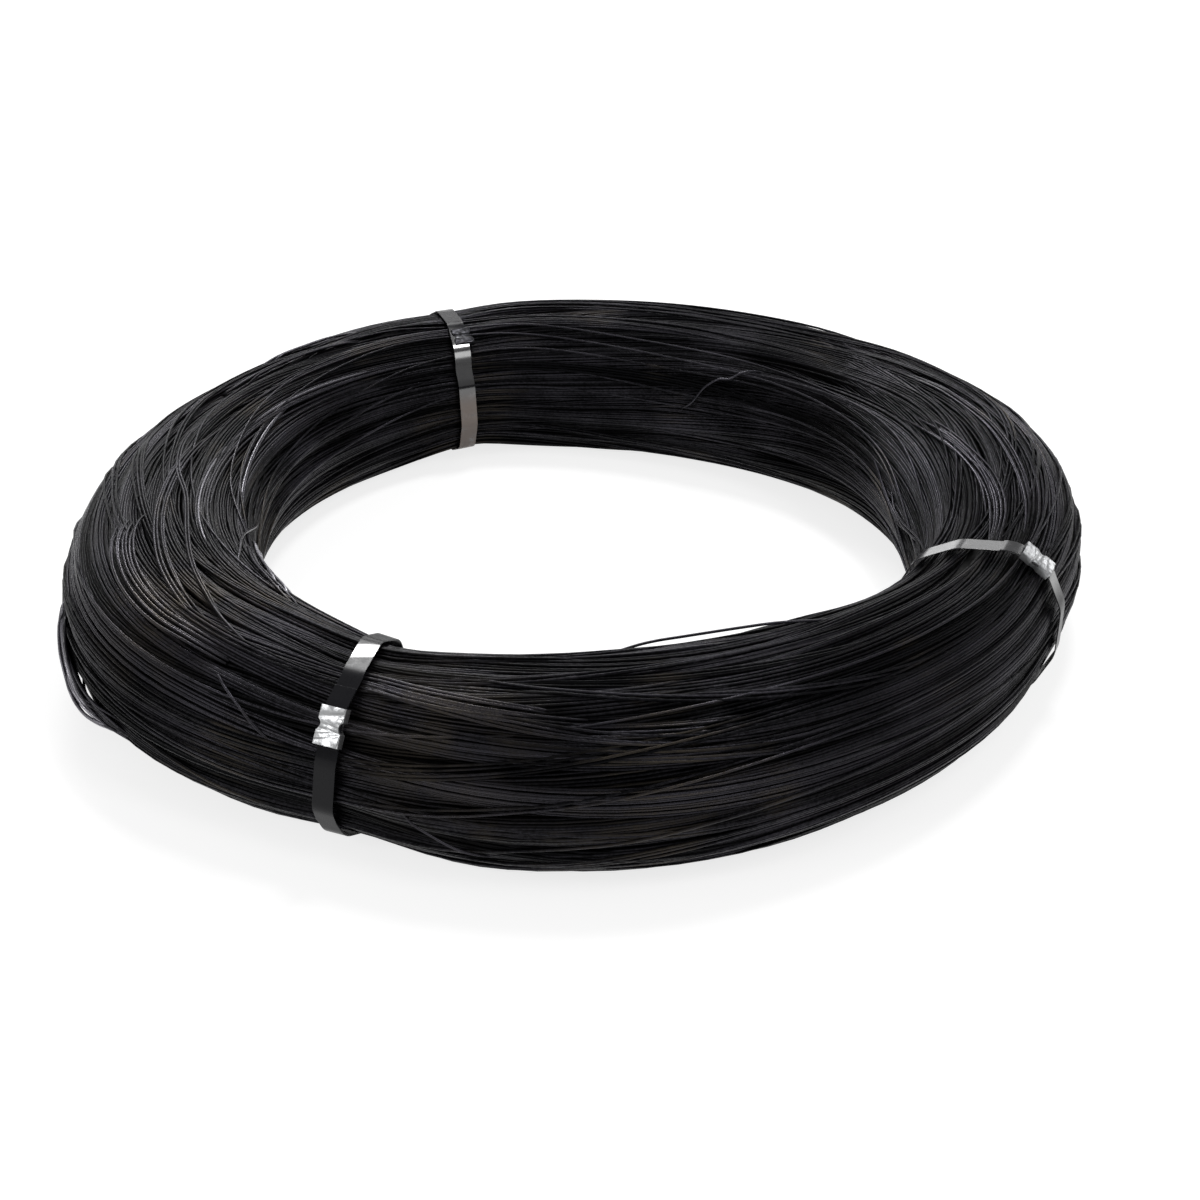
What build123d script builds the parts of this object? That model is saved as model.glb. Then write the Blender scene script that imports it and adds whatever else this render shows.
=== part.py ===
from build123d import *
from math import atan2, copysign, cos, degrees, pi, radians, sin
import os

# Coil of annealed binding wire, lying flat: a ring-shaped bundle of turns, tied by three flat steel
# straps that are closed by crimped seals. Millimetres, +Z up, the floor at Z = 0, and the origin on
# the floor under the middle of the coil. Angles round the coil are in degrees from +X.

# The bundle of turns
centreline_radius = 197.0  # coil axis to the middle of the bundle
outline_squareness = 2.3  # 2 is an ellipse, more is a fuller corner
clump_count = 13  # clumps of turns that stand out side by side round the bundle
clump_relief = 2.4  # depth of the grooves between them
clump_unevenness = 3.5  # degrees that a groove lies off its even place
clump_rhythm = 2.4  # radians from one groove to the next in that unevenness
floor_clump_angle = 23.0  # half of the wide clump that lies on the floor, from straight down
floor_shoulder_angle = 12.0  # half of its flat underside
floor_flat_depth = 2.4  # how far the lowest turns are flattened by the coil's weight

# Where the straps pull the bundle in. A drift is how far the bundle's middle is off the centreline.
tied_lift = 2.0  # underside of the bundle above the floor, which leaves room for the strap
back_tie_angle = 110.0
back_tie_drift = 2.5
back_tie_width = 76.0
back_tie_height = 77.5
front_tie_angle = 245.5
front_tie_drift = -2.0
front_tie_width = 74.0
front_tie_height = 77.0
right_tie_angle = 335.0
right_tie_drift = 3.0
right_tie_width = 70.0
right_tie_height = 75.0

# The neck on each side of a strap, where the bundle opens out again: how much wider it is than at the
# strap, and how far its middle lies off the strap's. Twists are in degrees.
neck_angle = 12.5
neck_rise_share = 0.4  # growth in height for each millimetre of growth in width
neck_twist = 1.0
back_swell_before = 5.0
back_swell_after = -0.5
back_shift_after = 2.0
front_swell_before = 7.0
front_swell_after = 5.5
right_swell_before = -0.5
right_shift_before = -1.5
right_swell_after = 9.0
right_shift_after = 2.0

# Left span, from the back strap to the front one
left_first_angle = 150.0
left_first_drift = -0.5
left_first_width = 77.5
left_first_height = 77.0
left_first_twist = 4.0
left_middle_angle = 185.0
left_middle_drift = -2.5
left_middle_width = 88.0
left_middle_height = 81.5
left_middle_twist = 7.0
left_last_angle = 213.0
left_last_drift = 2.5
left_last_width = 92.0
left_last_height = 82.5
left_last_twist = 3.0

# Front span, from the front strap to the right one
front_first_angle = 285.0
front_first_drift = -1.5
front_first_width = 83.5
front_first_height = 82.0
front_first_twist = -3.0
front_last_angle = 308.0
front_last_drift = -0.5
front_last_width = 75.5
front_last_height = 79.0
front_last_twist = -2.0

# Right span, from the right strap to the back one, past +X
right_first_angle = 360.0
right_first_drift = 3.5
right_first_width = 87.0
right_first_height = 85.0
right_first_twist = 3.0
right_middle_angle = 385.0
right_middle_drift = -1.0
right_middle_width = 81.5
right_middle_height = 85.0
right_middle_twist = 6.0
right_later_angle = 405.0
right_later_drift = -2.5
right_later_width = 86.0
right_later_height = 82.0
right_later_twist = 5.0
right_last_angle = 435.0
right_last_drift = -4.5
right_last_width = 85.5
right_last_height = 81.0
right_last_twist = 3.0

# Flat steel straps
strap_width = 9.5
strap_thickness = 0.5
strap_gap = 0.3  # between a strap and the crests of the turns
strap_tail = 7.0  # free end past the seal
strap_runs = 12  # stretches of strap that lie on the bundle
strap_bend_radius = 12.0  # inside radius of the bends between them

# Crimped seals, each wrapped round the two layers of its strap
seal_length = 17.0
seal_wall = 0.7
seal_clearance = 0.2  # between a seal and the strap in it, and between a seal and the turns
seal_mouth = 3.5  # slot between the two lips under the strap
notch_radius = 2.2
notch_depth = 1.1
back_seal_angle = 122.0  # on the bundle's outline, from outward over the top
front_seal_angle = 38.0
right_seal_angle = 54.0
pocket_margin = 2.0  # straight bundle past the pocket that a seal presses into the turns

# Worked out: growths of the bundle's outline, and half widths, that the pieces share
strap_inside = strap_gap
strap_outside = strap_inside + strap_thickness
layer_outside = strap_outside + strap_thickness
seal_inside = strap_inside - seal_clearance - seal_wall
seal_outside = layer_outside + seal_clearance + seal_wall
hollow_half_width = strap_width / 2 + seal_clearance
seal_half_width = hollow_half_width + seal_wall
pocket_half_width = seal_half_width + seal_clearance
tie_half_length = pocket_half_width + pocket_margin


class Station:
    # One place round the coil: the bundle's middle, its size there and how far its turns have twisted
    def __init__(self, angle, drift, width, height, twist=0.0, lift=-floor_flat_depth):
        self.angle = angle
        self.drift = drift
        self.width = width
        self.height = height
        self.twist = twist
        self.half_width = width / 2
        self.half_height = (height - lift) / 2
        self.middle = (height + lift) / 2

    # Upright plane across the bundle, X outward and Y up, moved along the turns
    def plane(self, along=0.0):
        outward = Vector(cos(radians(self.angle)), sin(radians(self.angle)), 0)
        onward = Vector(-sin(radians(self.angle)), cos(radians(self.angle)), 0)
        middle = outward * (centreline_radius + self.drift) + onward * along
        return Plane(origin=middle, x_dir=outward, z_dir=-onward)

    # Point of the bundle's outline in that plane, at an angle from outward over the top
    def rim(self, angle, depth=0.0):
        across, up = cos(radians(angle)), sin(radians(angle))
        fullness = abs(across) ** outline_squareness + abs(up) ** outline_squareness
        reach = fullness ** (-1 / outline_squareness)
        return Vector(
            (self.half_width - depth) * reach * across,
            self.middle + (self.half_height - depth) * reach * up,
        )

    # Direction in which the outline faces there, in radians
    def lean(self, angle):
        across, up = cos(radians(angle)), sin(radians(angle))
        power = outline_squareness - 1
        return atan2(
            copysign(abs(up) ** power, up) / self.half_height,
            copysign(abs(across) ** power, across) / self.half_width,
        )

    # The neck beside a strap, before it or after it
    def neck(self, turn, twist, swell, shift=0.0):
        height = self.height + swell * neck_rise_share
        return Station(self.angle + turn, self.drift + shift, self.width + swell, height, twist)


back_tie = Station(back_tie_angle, back_tie_drift, back_tie_width, back_tie_height, lift=tied_lift)
front_tie = Station(front_tie_angle, front_tie_drift, front_tie_width, front_tie_height, lift=tied_lift)
right_tie = Station(right_tie_angle, right_tie_drift, right_tie_width, right_tie_height, lift=tied_lift)
tied_places = [
    ("back", back_tie, back_seal_angle),
    ("front", front_tie, front_seal_angle),
    ("right", right_tie, right_seal_angle),
]

# Between two straps the bundle swells, wanders and twists by a few degrees
left_swell = [
    back_tie.neck(neck_angle, neck_twist, back_swell_after, back_shift_after),
    Station(left_first_angle, left_first_drift, left_first_width, left_first_height, left_first_twist),
    Station(left_middle_angle, left_middle_drift, left_middle_width, left_middle_height, left_middle_twist),
    Station(left_last_angle, left_last_drift, left_last_width, left_last_height, left_last_twist),
    front_tie.neck(-neck_angle, neck_twist, front_swell_before),
]
front_swell = [
    front_tie.neck(neck_angle, -neck_twist, front_swell_after),
    Station(front_first_angle, front_first_drift, front_first_width, front_first_height, front_first_twist),
    Station(front_last_angle, front_last_drift, front_last_width, front_last_height, front_last_twist),
    right_tie.neck(-neck_angle, -neck_twist, right_swell_before, right_shift_before),
]
right_swell = [
    right_tie.neck(neck_angle, neck_twist, right_swell_after, right_shift_after),
    Station(right_first_angle, right_first_drift, right_first_width, right_first_height, right_first_twist),
    Station(right_middle_angle, right_middle_drift, right_middle_width, right_middle_height, right_middle_twist),
    Station(right_later_angle, right_later_drift, right_later_width, right_later_height, right_later_twist),
    Station(right_last_angle, right_last_drift, right_last_width, right_last_height, right_last_twist),
    back_tie.neck(-neck_angle, neck_twist, back_swell_before),
]
spans = [
    (back_tie, left_swell, front_tie),
    (front_tie, front_swell, right_tie),
    (right_tie, right_swell, back_tie),
]


# Angle of a groove between clumps of turns, counted on the outline from one side of the floor clump,
# over the top, to its other side. Unevenness and twist fade out at the floor. Fractions lie between.
def groove_angle(groove, twist):
    place = groove / clump_count
    fade = sin(pi * place)
    uneven = clump_unevenness * sin(clump_rhythm * groove)
    return floor_clump_angle - 90 + (360 - 2 * floor_clump_angle) * place + (uneven + twist) * fade


# Face across the bundle: each clump of turns is a ridge with two shoulders between two grooves
def bundle_face(station, along=0.0):
    corners = []
    for clump in range(clump_count):
        start = groove_angle(clump, station.twist)
        width = groove_angle(clump + 1, station.twist) - start
        corners.append(station.rim(start, clump_relief))
        corners.append(station.rim(start + width / 3))
        corners.append(station.rim(start + width * 2 / 3))
    corners.append(station.rim(groove_angle(clump_count, station.twist), clump_relief))
    corners.append(station.rim(-90 - floor_shoulder_angle))
    corners.append(station.rim(-90 + floor_shoulder_angle))
    with BuildSketch(station.plane(along)) as face:
        with BuildLine():
            Polyline(corners, close=True)
        make_face()
    return face.sketch


# Closed line round a tied bundle: straight runs that touch its outline, with a bend from each to the
# next, all moved outward by a growth
def tied_line(tie, growth):
    angles = [360 / strap_runs * run for run in range(strap_runs)]
    leans = [tie.lean(angle) for angle in angles]
    touches = [tie.rim(angle) for angle in angles]
    supports = [t.X * cos(lean) + t.Y * sin(lean) + growth for t, lean in zip(touches, leans)]
    corners = []
    for run in range(strap_runs):
        lean, before = leans[run], leans[run - 1]
        support, support_before = supports[run], supports[run - 1]
        turn = sin(lean - before)
        corners.append(
            Vector(
                (support_before * sin(lean) - support * sin(before)) / turn,
                (support * cos(before) - support_before * cos(lean)) / turn,
            )
        )
    return FilletPolyline(corners, radius=strap_bend_radius + growth, close=True)


# Face between two such lines
def band_face(tie, inside, outside):
    with BuildSketch(tie.plane()) as face:
        with BuildLine():
            tied_line(tie, outside)
        make_face()
        with BuildLine():
            tied_line(tie, inside)
        make_face(mode=Mode.SUBTRACT)
    return face.sketch


# The stretch of that face from start to end along the strap, counted from an angle on the outline
def stretch_face(tie, inside, outside, angle, start, end):
    lean = tie.lean(angle)
    corner = tie.rim(angle) + Vector(-sin(lean), cos(lean)) * start
    with BuildSketch(tie.plane()) as face:
        with BuildLine():
            tied_line(tie, outside)
        make_face()
        with BuildLine():
            tied_line(tie, inside)
        make_face(mode=Mode.SUBTRACT)
        with Locations(corner):
            Rectangle(
                tie.half_width,
                end - start,
                rotation=degrees(lean),
                align=(Align.CENTER, Align.MIN),
                mode=Mode.INTERSECT,
            )
    return face.sketch


# One length of flat strap, whose ends lie on each other through the seal
def tied_strap(tie, seal_angle):
    with BuildPart() as strap:
        extrude(band_face(tie, strap_inside, strap_outside), amount=strap_width / 2, both=True)
        lap = stretch_face(
            tie, strap_outside, layer_outside, seal_angle, -seal_length / 2, seal_length / 2 + strap_tail
        )
        extrude(lap, amount=strap_width / 2, both=True)
    return strap.part


# Sleeve folded round both layers of the strap, its lips turned in below and its sides notched
def crimped_seal(tie, seal_angle):
    half = seal_length / 2
    lean = tie.lean(seal_angle)
    plane = tie.plane()
    facing = plane.x_dir * cos(lean) + plane.y_dir * sin(lean)
    notch_reach = seal_half_width + notch_radius - notch_depth
    with BuildPart() as seal:
        extrude(
            stretch_face(tie, seal_inside, seal_outside, seal_angle, -half, half),
            amount=seal_half_width,
            both=True,
        )
        extrude(
            stretch_face(
                tie, strap_inside - seal_clearance, layer_outside + seal_clearance, seal_angle, -half, half
            ),
            amount=hollow_half_width,
            both=True,
            mode=Mode.SUBTRACT,
        )
        extrude(
            stretch_face(tie, seal_inside - seal_wall, strap_inside, seal_angle, -half, half),
            amount=seal_mouth / 2,
            both=True,
            mode=Mode.SUBTRACT,
        )
        for side in (-notch_reach, notch_reach):
            spot = tie.rim(seal_angle)
            with Locations(Plane(plane.from_local_coords((spot.X, spot.Y, side)), z_dir=facing)):
                Cylinder(notch_radius, seal_length, mode=Mode.SUBTRACT)
    return seal.part


# The wire: straight under each strap, lofted through the stations between, flat where it lies on the
# floor, and pressed in below each seal
with BuildPart() as winding:
    for place, tie, seal_angle in tied_places:
        extrude(bundle_face(tie), amount=tie_half_length, both=True)
    for first_tie, swell, last_tie in spans:
        loft(
            [
                bundle_face(first_tie, tie_half_length),
                *[bundle_face(station) for station in swell],
                bundle_face(last_tie, -tie_half_length),
            ]
        )
    split(bisect_by=Plane.XY, keep=Keep.TOP)
    half = seal_length / 2 + seal_clearance
    for place, tie, seal_angle in tied_places:
        pocket = stretch_face(tie, seal_inside - seal_clearance, seal_outside, seal_angle, -half, half)
        extrude(pocket, amount=pocket_half_width, both=True, mode=Mode.SUBTRACT)

# The origin goes under the middle of the coil's footprint
middle = winding.part.bounding_box().center()
to_origin = Location((-middle.X, -middle.Y, 0))

with BuildPart() as wire_coil:
    with Locations(to_origin):
        add(winding.part)
wire_coil.part.label = "wire_coil"

os.makedirs("parts", exist_ok=True)
export_step(wire_coil.part, "parts/wire_coil.step")

for place, tie, seal_angle in tied_places:
    with BuildPart() as strap:
        with Locations(to_origin):
            add(tied_strap(tie, seal_angle))
    strap.part.label = f"strap_{place}"
    export_step(strap.part, f"parts/strap_{place}.step")

    with BuildPart() as seal:
        with Locations(to_origin):
            add(crimped_seal(tie, seal_angle))
    seal.part.label = f"seal_{place}"
    export_step(seal.part, f"parts/seal_{place}.step")
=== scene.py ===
import math

import bpy
import numpy as np
from mathutils import Matrix, Vector
from mathutils.bvhtree import BVHTree


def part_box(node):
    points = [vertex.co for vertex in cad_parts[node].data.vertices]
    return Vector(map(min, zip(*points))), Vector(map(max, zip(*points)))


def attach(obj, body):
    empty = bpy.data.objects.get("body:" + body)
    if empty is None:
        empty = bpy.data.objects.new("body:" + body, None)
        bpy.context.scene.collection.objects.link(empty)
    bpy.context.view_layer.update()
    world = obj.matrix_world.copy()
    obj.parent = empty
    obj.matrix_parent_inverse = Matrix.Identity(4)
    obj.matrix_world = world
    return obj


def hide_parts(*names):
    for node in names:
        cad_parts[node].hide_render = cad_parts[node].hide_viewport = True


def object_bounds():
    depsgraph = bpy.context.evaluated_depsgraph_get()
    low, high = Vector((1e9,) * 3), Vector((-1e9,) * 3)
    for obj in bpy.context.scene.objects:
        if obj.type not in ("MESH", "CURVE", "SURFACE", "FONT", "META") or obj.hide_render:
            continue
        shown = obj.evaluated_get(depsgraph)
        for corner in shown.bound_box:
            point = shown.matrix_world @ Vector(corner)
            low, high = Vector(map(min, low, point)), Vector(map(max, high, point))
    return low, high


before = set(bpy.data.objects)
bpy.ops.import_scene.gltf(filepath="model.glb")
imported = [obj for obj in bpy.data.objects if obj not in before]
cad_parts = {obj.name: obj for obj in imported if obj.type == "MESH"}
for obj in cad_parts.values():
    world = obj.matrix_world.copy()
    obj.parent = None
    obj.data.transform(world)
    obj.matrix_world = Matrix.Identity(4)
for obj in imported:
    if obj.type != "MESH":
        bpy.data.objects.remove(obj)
cadLow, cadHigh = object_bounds()

millimetre = 0.001
fullTurn = 2 * math.pi
coilAxis = Vector((-0.00325, -0.0007, 0.0))   # the turns go round this, a little off the outline's middle
ties = ("back", "front", "right")


def selectOnly(piece):
    bpy.ops.object.select_all(action="DESELECT")
    piece.select_set(True)
    bpy.context.view_layer.objects.active = piece


# The placement that puts a thing's origin at a place and its x, y and z along three directions
def standing(place, x, y, z):
    return Matrix.Translation(place) @ Matrix((x, y, z)).transposed().to_4x4()


def grey(value):
    return (value, value, value, 1)


# Hands a finished piece over: it rides on the root, in place of one solid of the part
def hand(piece, name, node, material):
    piece.name = name
    piece.data.name = name
    piece.data.materials.clear()
    piece.data.materials.append(material)
    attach(piece, "root")
    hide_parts(node)


# Node maths written as expressions: a wrapped socket adds, multiplies and feeds other nodes
class Signal:
    def __init__(self, tree, socket=None):
        self.tree = tree
        self.socket = socket

    def node(self, kind, settings=None, values=None, output=0):
        made = self.tree.nodes.new("ShaderNode" + kind)
        for name, value in (settings or {}).items():
            setattr(made, name, value)
        for name, value in (values or {}).items():
            if isinstance(value, Signal):
                self.tree.links.new(value.socket, made.inputs[name])
            else:
                made.inputs[name].default_value = value
        return Signal(self.tree, made.outputs[output])

    # An operation on this value and on any others that it takes
    def math(self, operation, *others):
        return self.node("Math", {"operation": operation}, dict(enumerate((self, *others))))

    def __add__(self, other):
        return self.math("ADD", other)

    def __sub__(self, other):
        return self.math("SUBTRACT", other)

    def __rsub__(self, other):
        return self.node("Math", {"operation": "SUBTRACT"}, {0: other, 1: self})

    def __mul__(self, other):
        return self.math("MULTIPLY", other)

    __radd__ = __add__
    __rmul__ = __mul__

    # 0 below the first level, 1 above the second
    def between(self, low, high):
        return self.node("MapRange", {"interpolation_type": "SMOOTHSTEP"}, {0: self, 1: low, 2: high})

    # The first colour where this is 0, the second where it is 1. Sockets 6 and 7 are the node's colours
    def mix(self, first, second):
        return self.node("Mix", {"data_type": "RGBA"}, {0: self, 6: first, 7: second}, 2)

    def spot(self):
        return self.node("TexCoord", output="Object")

    def noise(self, scale, detail):
        return self.node("TexNoise", values={"Vector": self.spot(), "Scale": scale, "Detail": detail})

    def place(self, axis):
        return self.node("SeparateXYZ", values={"Vector": self.spot()}, output=axis)

    # 1 at a place, fading to 0 so far from it
    def near(self, place, reach):
        away = self.node("VectorMath", {"operation": "DISTANCE"}, {0: self.spot(), 1: place}, "Value")
        return 1 - away.between(0, reach)

    def written(self, attribute):
        return self.node("Attribute", {"attribute_name": attribute}, output="Fac")

    def bump(self, strength, distance):
        return self.node("Bump", values={"Strength": strength, "Distance": distance, "Height": self})


# A material whose shader takes numbers, colours or signals by the names of its sockets
def finish(name, fixed, recipe):
    material = bpy.data.materials.new(name)
    material.use_nodes = True
    tree = material.node_tree
    shader = tree.nodes["Principled BSDF"]
    inputs = dict(fixed)
    inputs.update(recipe(Signal(tree)))
    for socket, value in inputs.items():
        if isinstance(value, Signal):
            tree.links.new(value.socket, shader.inputs[socket])
        else:
            shader.inputs[socket].default_value = value
    return material


# The bundle's skin, read off the solid coil: rings of points, evenly spaced round it from its underside
bundle = {
    "rings": 240,        # sections round the coil
    "points": 240,       # places on each section, from the floor outward, over the top and down the bore
    "rays": 240,
    "softenAlong": 2.0,  # in sections
    "softenRound": 1.6,  # in rays
    "tautReach": 9,      # rays that a taut strand bridges on each side
    "tautRound": 5.0,    # in rays
    "tautRise": 2.5 * millimetre,   # at most, above the skin
}


def soften(values, width, axis):
    reach = int(3 * width) + 1
    steps = np.arange(-reach, reach + 1)
    weights = np.exp(-0.5 * (steps / width) ** 2)
    total = sum(w * np.roll(values, s, axis) for w, s in zip(weights, steps))
    return total / weights.sum()


def readSkin():
    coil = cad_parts["wire_coil"].data
    tree = BVHTree.FromPolygons([v.co for v in coil.vertices], [tuple(p.vertices) for p in coil.polygons])
    middleHeight = Vector((0, 0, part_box("wire_coil")[1].z / 2))
    sections = np.zeros((bundle["rings"], bundle["rays"], 3))
    middles = np.zeros((bundle["rings"], 3))
    for ring in range(bundle["rings"]):
        turn = fullTurn * ring / bundle["rings"]
        outward = Vector((math.cos(turn), math.sin(turn), 0))
        start = coilAxis + middleHeight
        bore = tree.ray_cast(start, outward)[0]
        rim = tree.ray_cast(start + outward, -outward)[0]
        middles[ring] = (bore + rim) / 2
        for ray in range(bundle["rays"]):
            lean = fullTurn * ray / bundle["rays"] - math.pi / 2
            aim = outward * math.cos(lean) + Vector((0, 0, math.sin(lean)))
            sections[ring, ray] = tree.ray_cast(Vector(middles[ring]), aim)[0]
    sections = soften(soften(sections, bundle["softenAlong"], 0), bundle["softenRound"], 1)
    sections[:, :, 2] = np.maximum(sections[:, :, 2], 0)

    # A taut strand bridges the grooves: its skin touches only the clumps
    spokes = sections - middles[:, None]
    reach = np.linalg.norm(spokes, axis=2)
    steps = range(-bundle["tautReach"], bundle["tautReach"] + 1)
    bridged = np.max([np.roll(reach, step, 1) for step in steps], axis=0)
    bridged = soften(np.minimum(bridged, reach + bundle["tautRise"]), bundle["tautRound"], 1)
    bridging = middles[:, None] + spokes * (bridged / reach)[:, :, None]
    evenly = np.zeros((bundle["rings"], bundle["points"], 3))
    taut = np.zeros((bundle["rings"], bundle["points"], 3))
    leans = np.zeros((bundle["rings"], bundle["points"]))
    for ring, section in enumerate(sections):
        loop = np.vstack([section, section[:1]])
        bridge = np.vstack([bridging[ring], bridging[ring, :1]])
        run = np.concatenate([[0], np.cumsum(np.linalg.norm(np.diff(loop, axis=0), axis=1))])
        wanted = np.linspace(0, run[-1], bundle["points"], endpoint=False)
        evenly[ring] = np.stack([np.interp(wanted, run, loop[:, axis]) for axis in range(3)], 1)
        taut[ring] = np.stack([np.interp(wanted, run, bridge[:, axis]) for axis in range(3)], 1)
        leans[ring] = np.interp(wanted, run, np.linspace(-90, 270, len(loop)))
    return evenly, taut, leans


skin, tautSkin, skinLean = readSkin()
girth = np.linalg.norm(np.roll(skin, -1, 1) - skin, axis=2).sum(1).mean()
facing = np.cross(np.roll(skin, -1, 0) - np.roll(skin, 1, 0), np.roll(skin, -2, 1) - np.roll(skin, 2, 1))
facing = facing / np.linalg.norm(facing, axis=2, keepdims=True)
facing = facing * np.sign(facing[:, bundle["points"] // 2, 2].mean())
print("skin read, girth", round(girth / millimetre, 1), "mm")


# Points that many turns round the coil and that share of the girth round the bundle, under a skin of it
def onSkin(turn, place, depth, cover=skin):
    row = np.mod(turn, 1.0) * bundle["rings"]
    column = np.mod(place, 1.0) * bundle["points"]
    row0 = np.floor(row).astype(int) % bundle["rings"]
    column0 = np.floor(column).astype(int) % bundle["points"]
    row1 = (row0 + 1) % bundle["rings"]
    column1 = (column0 + 1) % bundle["points"]
    rowPart = np.mod(row, 1.0)[:, None]
    columnPart = np.mod(column, 1.0)[:, None]

    def blend(grid):
        near = grid[row0, column0] * (1 - columnPart) + grid[row0, column1] * columnPart
        far = grid[row1, column0] * (1 - columnPart) + grid[row1, column1] * columnPart
        return near * (1 - rowPart) + far * rowPart

    return blend(cover) - blend(facing) * depth[:, None]


# The share of the girth that a lean has, in degrees over the outside and the top toward the bore
def placeOf(turn, lean):
    ring = int(round(turn * bundle["rings"])) % bundle["rings"]
    return np.interp(lean, skinLean[ring], np.arange(bundle["points"]) / bundle["points"])


def turnOf(node):
    low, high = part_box(node)
    middle = (low + high) / 2 - coilAxis
    return math.atan2(middle.y, middle.x) / fullTurn % 1.0


tieTurns = {tie: turnOf("strap_" + tie) for tie in ties}


def nearTie(turn, reach):
    apart = [np.mod(turn - tie + 0.5, 1.0) - 0.5 for tie in tieTurns.values()]
    return sum(np.exp(-(a / reach) ** 2) for a in apart)


wire = {
    "thickness": 1.2 * millimetre,
    "inset": 0.65 * millimetre,   # no wire's middle comes closer than this to the solids' outer box
    "aboveFloor": 0.52,           # of its lowest middle, in wires
    "press": 0.8 * millimetre,    # how much deeper the turns lie under a strap
    "pressReach": 0.02,           # of a turn
    "tiedDepth": 0.65,            # least depth under a strap, in wires
    "tiedReach": 0.03,            # of a turn
    "proud": 0.3,                 # how far a turn may stand off elsewhere, in wires
    "darkAt": 3.4 * millimetre,   # depth where the wire is black with shade
    "endStops": 6,
    "endDive": 6 * millimetre,    # how far a layer's two ends dive, over so many stops
    "laneMargin": 0.05,           # left free on each side of a lane of the UV map
    "merge": 0.01 * millimetre,
}


# Slow waves that carry whole groups of turns sideways on their way round
def drift(seed, size, rounds=(1, 2, 3, 4, 5), acrosses=(0, 1, 2, 3)):
    draw = np.random.default_rng(seed)
    terms = [(draw.normal() / (m * (1 + n)), m, n, draw.uniform(0, fullTurn))
             for m in rounds for n in acrosses]
    power = math.sqrt(sum(0.5 * term[0] ** 2 for term in terms))

    def shift(turn, place):
        total = sum(a * np.cos(fullTurn * (m * turn + n * place) + p) for a, m, n, p in terms)
        return total * size / power

    return shift


# A wire's own unevenness: a smooth random line with so many knots
def wander(draw, knotCount, stops):
    knots = draw.normal(size=int(knotCount) + 5)
    at = np.arange(stops) / stops * knotCount
    i = at.astype(int)
    f = at - i
    a, b, c, d = (knots[i + k] for k in range(4))
    return ((-f ** 3 + 3 * f ** 2 - 3 * f + 1) * a + (3 * f ** 3 - 6 * f ** 2 + 4) * b
            + (-3 * f ** 3 + 3 * f ** 2 + 3 * f + 1) * c + f ** 3 * d) / 6


# A value that each point of the runs has, written on the mesh: its end caps come first, then its rings
def writeValues(mesh, runs, sides, name):
    capped = np.concatenate([run[name][[0, -1]] for run in runs])
    values = np.concatenate([capped] + [run[name] for run in runs])
    mesh.attributes.new(name, "FLOAT", "POINT").data.foreach_set("value", np.repeat(values, sides))


# The UV map: each lane is a strip of its own, and the caps stay at its corner
def writeLanes(mesh, runs, sides):
    lane = np.concatenate([run["lane"] for run in runs])
    along = np.concatenate([run["along"] for run in runs])
    step = along[1] - along[0]
    corners = np.zeros(len(mesh.loops), dtype=np.int32)
    mesh.loops.foreach_get("vertex_index", corners)
    capVerts = 2 * sides * len(runs)
    onSide = corners >= capVerts
    quads = (corners[onSide] - capVerts).reshape(-1, 4)
    ring = quads // sides
    around = quads % sides
    first = ring.min(1, keepdims=True)
    wraps = (around.max(1) == sides - 1) & (around.min(1) == 0)
    around = np.where(wraps[:, None] & (around == 0), sides, around)
    across = wire["laneMargin"] + (1 - 2 * wire["laneMargin"]) * around / sides
    flat = np.zeros((len(corners), 2))
    flat[onSide, 0] = (along[first] + step * (ring - first)).ravel()
    flat[onSide, 1] = ((lane[first] + across) / (lane.max() + 1)).ravel()
    for old in list(mesh.uv_layers):
        mesh.uv_layers.remove(old)
    mesh.uv_layers.new(name="OFBake").data.foreach_set("uv", flat.ravel())


# Runs of wire as one mesh. Each run has its points, and for each point its lane on the UV map, how far
# along that lane it is, its tone and how deep it lies
def wireMesh(runs, sides):
    data = bpy.data.curves.new("run", "CURVE")
    data.dimensions = "3D"
    data.bevel_depth = wire["thickness"] / 2
    data.bevel_resolution = (sides - 4) // 2
    data.use_fill_caps = True
    for run in runs:
        spline = data.splines.new("POLY")
        count = len(run["points"])
        spline.points.add(count - 1)
        spline.points.foreach_set("co", np.hstack([run["points"], np.ones((count, 1))]).ravel())
    piece = bpy.data.objects.new("run", data)
    bpy.context.scene.collection.objects.link(piece)
    selectOnly(piece)
    bpy.ops.object.convert(target="MESH")
    piece = bpy.context.view_layer.objects.active
    writeValues(piece.data, runs, sides, "tone")
    writeValues(piece.data, runs, sides, "buried")
    writeLanes(piece.data, runs, sides)
    bpy.ops.object.mode_set(mode="EDIT")
    bpy.ops.mesh.select_all(action="SELECT")
    bpy.ops.mesh.remove_doubles(threshold=wire["merge"])
    bpy.ops.mesh.normals_make_consistent(inside=False)
    bpy.ops.object.mode_set(mode="OBJECT")
    bpy.ops.object.shade_smooth()
    return piece


# The wire: black oxide from annealing, with bluish and khaki turns; silvery-grey turns are painted highlights
# and the buried turns get painted shade
wireLook = {
    "dark": (0.004, 0.004, 0.005, 1),
    "pale": (0.056, 0.0535, 0.064, 1),
    "paintedHighlight": (0.4, 0.39, 0.43, 1),
    "khaki": (0.074, 0.063, 0.05, 1),
    "shade": grey(0.002),
    "metallic": 0.6,
    "shine": 0.32,       # roughness of the smoothest turns
    "stained": (((-0.06, -0.22, 0.07), 0.06), ((-0.172, -0.134, 0.08), 0.055)),   # place and reach
}


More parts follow.
